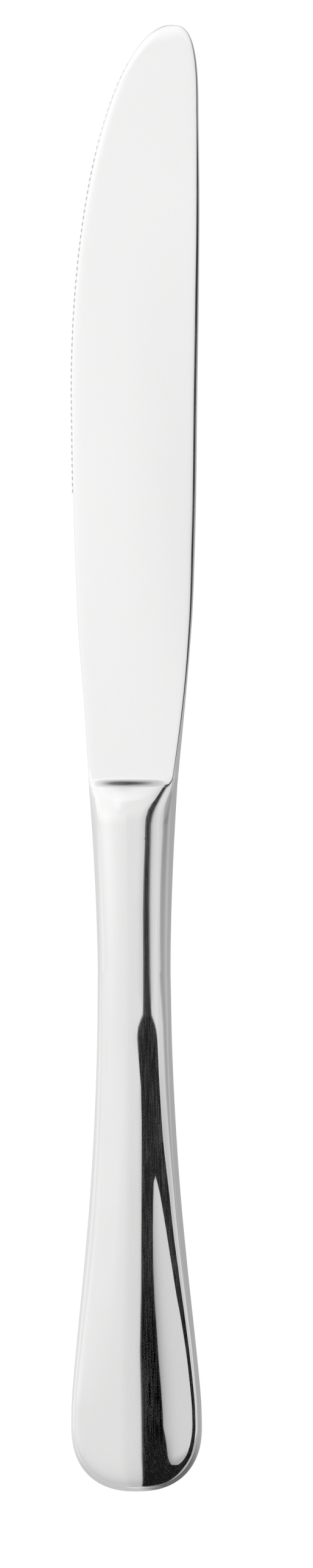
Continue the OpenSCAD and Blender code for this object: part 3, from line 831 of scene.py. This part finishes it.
# Grey wall card on the spine's side, whose upper edge falls away beside the handle: the place along Y, and
# the edge's height there
WALL_EDGE = [(-406.7, 6), (-112.3, 12), (-80.5, 20), (-69.9, 30), (-65.7, 36), (-62, 47), (-57.2, 58),
             (-55.1, 70), (-51.9, 91), (-48.5, 113), (-45.1, 134), (-41.6, 148), (-39.6, 165), (-38.4, 195),
             (-37.2, 210), (-36, 238), (-33.9, 259), (-29.7, 275), (-25.4, 275), (-22.2, 257),
             (-17.6, 226), (17.5, 223), (73, 274), (200, 300), (700, 300)]
# By share of the height: the wall's grey, and how much darker it is beside the shoulder
WALL_GREYS = [(-0.02, 0.54), (0, 0.54), (0.18, 0.56), (0.27, 0.53), (0.36, 0.49), (0.47, 0.43), (0.58, 0.41),
              (0.7, 0.41), (0.84, 0.46), (1.0, 0.62), (1.15, 0.76)]
SHOULDER_GREYS = [(0, 0.02), (0.45, 0.16), (0.85, 0.12), (1.15, 0.0)]
# Six steps between each two places of the edge
places = np.arange(len(WALL_EDGE))
wall_y = np.interp(np.linspace(0, places[-1], 6 * places[-1] + 1), places, [row[0] for row in WALL_EDGE])
shares, greys = np.array(WALL_GREYS).T
wall_z = at(wall_y, WALL_EDGE)[:, None] * shares[None, :]
wall_grey = greys[None, :] - at(shares, SHOULDER_GREYS)[None, :] * bump_at(wall_y, 0, 22)[:, None]
beside_blade = 1 - 0.38 * above(wall_y, 30, 60)
wall_x, wall_rows = np.full(wall_z.shape, WALL_X), np.repeat(wall_y[:, None], len(shares), 1)
wall_points = np.stack([wall_x, wall_rows, wall_z], -1)
glow_grid("studio_grey_wall", wall_points, wall_grey * beside_blade[:, None])


def knife_rim():
    """Points round the knife's outline, close together at both ends."""
    end = -HANDLE_LEN + END_LEN * (1 - np.cos(np.linspace(0, math.pi / 2, 30)))
    nose = 4
    tip = BLADE_LEN - nose + nose * np.sin(np.linspace(0.1, math.pi / 2, 12))
    y = np.concatenate([end, np.linspace(1 - END_D, BLADE_LEN - nose, 160), tip])
    return np.concatenate([np.stack([edge_x(y), y], -1), np.stack([spine_x(y), y], -1)])


def floor_glow_with_painted_shadow(x, y):
    """What the steel sees of the floor, with a painted shadow of the knife: darker close to the knife, on the
    spine's side and past the butt.
    """
    rim = knife_rim()
    near = np.sqrt(((x.ravel()[:, None] - rim[None, :, 0]) ** 2
                    + (y.ravel()[:, None] - rim[None, :, 1]) ** 2).min(1)).reshape(x.shape)
    past_neck = below(y, -20, 30)
    open_side = mix(mix(0.785, 0.82, past_neck), mix(0.88, 0.99, past_neck), ease(near / 22))
    open_side = mix(open_side, mix(0.60, 0.95, above(near, 2, 12)), above(y, 2, 20))
    level = mix(open_side, 0.45, above(x, MID_X - 4, 13))
    past_butt = mix(0.60 + 0.2 * ease(near / 25), 0.15, above(x, 0.5, 5))
    return mix(level, past_butt, below(y, -107, 10))


def floor_material():
    """White to the camera, with a faint shadow, and to the steel its painted brightness, which holds a
    painted shadow of the knife.
    """
    mat, nodes, links = new_material("studio_floor_white")
    out = nodes.new("ShaderNodeOutputMaterial")
    path = nodes.new("ShaderNodeLightPath")
    painted = nodes.new("ShaderNodeAttribute")
    painted.attribute_name = "glow"
    white = nodes.new("ShaderNodeEmission")
    white.inputs["Strength"].default_value = 1.09
    paper = nodes.new("ShaderNodeBsdfDiffuse")
    paper.inputs["Color"].default_value = (0.85, 0.85, 0.85, 1)
    mirrored = nodes.new("ShaderNodeEmission")
    links.new(painted.outputs["Fac"], mirrored.inputs["Strength"])

    def mixed(share, first, second):
        node = nodes.new("ShaderNodeMixShader")
        if isinstance(share, float):
            node.inputs[0].default_value = share
        else:
            links.new(share, node.inputs[0])
        links.new(first.outputs[0], node.inputs[1])
        links.new(second.outputs[0], node.inputs[2])
        return node

    seen = mixed(0.12, white, paper)
    by_steel = math_node(nodes, links, "MAXIMUM", path.outputs["Is Glossy Ray"],
                         path.outputs["Is Transmission Ray"])
    in_steel = mixed(by_steel, paper, mirrored)
    final = mixed(path.outputs["Is Camera Ray"], in_steel, seen)
    links.new(final.outputs[0], out.inputs["Surface"])
    mat.cycles.emission_sampling = "NONE"
    return mat


def build_world():
    """Soft white light from all round, and the floor's white above the horizon for the camera."""
    world = bpy.data.worlds.new("studio_world")
    bpy.context.scene.world = world
    world.use_nodes = True
    nodes, links = world.node_tree.nodes, world.node_tree.links
    lighting = nodes["Background"]
    beyond = nodes.new("ShaderNodeBackground")
    for background, strength in ((lighting, 0.9), (beyond, 1.06)):
        background.inputs["Color"].default_value = (1, 1, 1, 1)
        background.inputs["Strength"].default_value = strength
    path = nodes.new("ShaderNodeLightPath")
    either = nodes.new("ShaderNodeMixShader")
    links.new(path.outputs["Is Camera Ray"], either.inputs[0])
    links.new(lighting.outputs[0], either.inputs[1])
    links.new(beyond.outputs[0], either.inputs[2])
    links.new(either.outputs[0], nodes["World Output"].inputs["Surface"])


# Wide white floor, finer near the knife
floor_x = np.concatenate([[-6000, -600, -200, -80], np.linspace(-45, 45, 91), [80, 200, 600, 6000]])
floor_y = np.concatenate([[-6000, -700, -300, -180], np.linspace(-150, 150, 151), [180, 300, 700, 6000]])
grid_x, grid_y = np.meshgrid(floor_x, floor_y)
floor_points = np.stack([grid_x - MID_X, grid_y - MID_Y, np.zeros(grid_x.shape)], -1).reshape(-1, 3) / 1000
floor_mesh = bpy.data.meshes.new("studio_floor")
floor_mesh.from_pydata(floor_points.tolist(), [], strip_faces(len(floor_y), len(floor_x), False))
# What the steel sees of the floor is painted on it, with a painted shadow of the knife round the knife
floor_levels = floor_mesh.attributes.new("glow", "FLOAT", "POINT")
floor_levels.data.foreach_set("value", floor_glow_with_painted_shadow(grid_x, grid_y).ravel())
floor_mesh.materials.append(floor_material())
floor = bpy.data.objects.new("studio_floor", floor_mesh)
bpy.context.scene.collection.objects.link(floor)

build_world()

# Camera: straight above the knife, as in the photo, in metres. It frames the photo's height at the distance
# of the handle's middle, and is turned a little, as the knife lies a little askew in the photo
DISTANCE, SENSOR = 2.0, 36
PHOTO_ROWS, MM_PER_ROW = 2576, 0.099626
PHOTO_HEIGHT = PHOTO_ROWS * MM_PER_ROW / 1000
PHOTO_MIDDLE, PHOTO_TURN = (0.003499, -0.00422), -0.302
camera_data = bpy.data.cameras.new("camera")
camera_data.lens = SENSOR * DISTANCE / PHOTO_HEIGHT
camera = bpy.data.objects.new("camera", camera_data)
bpy.context.scene.collection.objects.link(camera)
camera.location = (*PHOTO_MIDDLE, HANDLE_T / 2000 + DISTANCE)
camera.rotation_euler = (0, 0, math.radians(PHOTO_TURN))
bpy.context.scene.camera = camera
bpy.context.scene.view_settings.view_transform = "Standard"
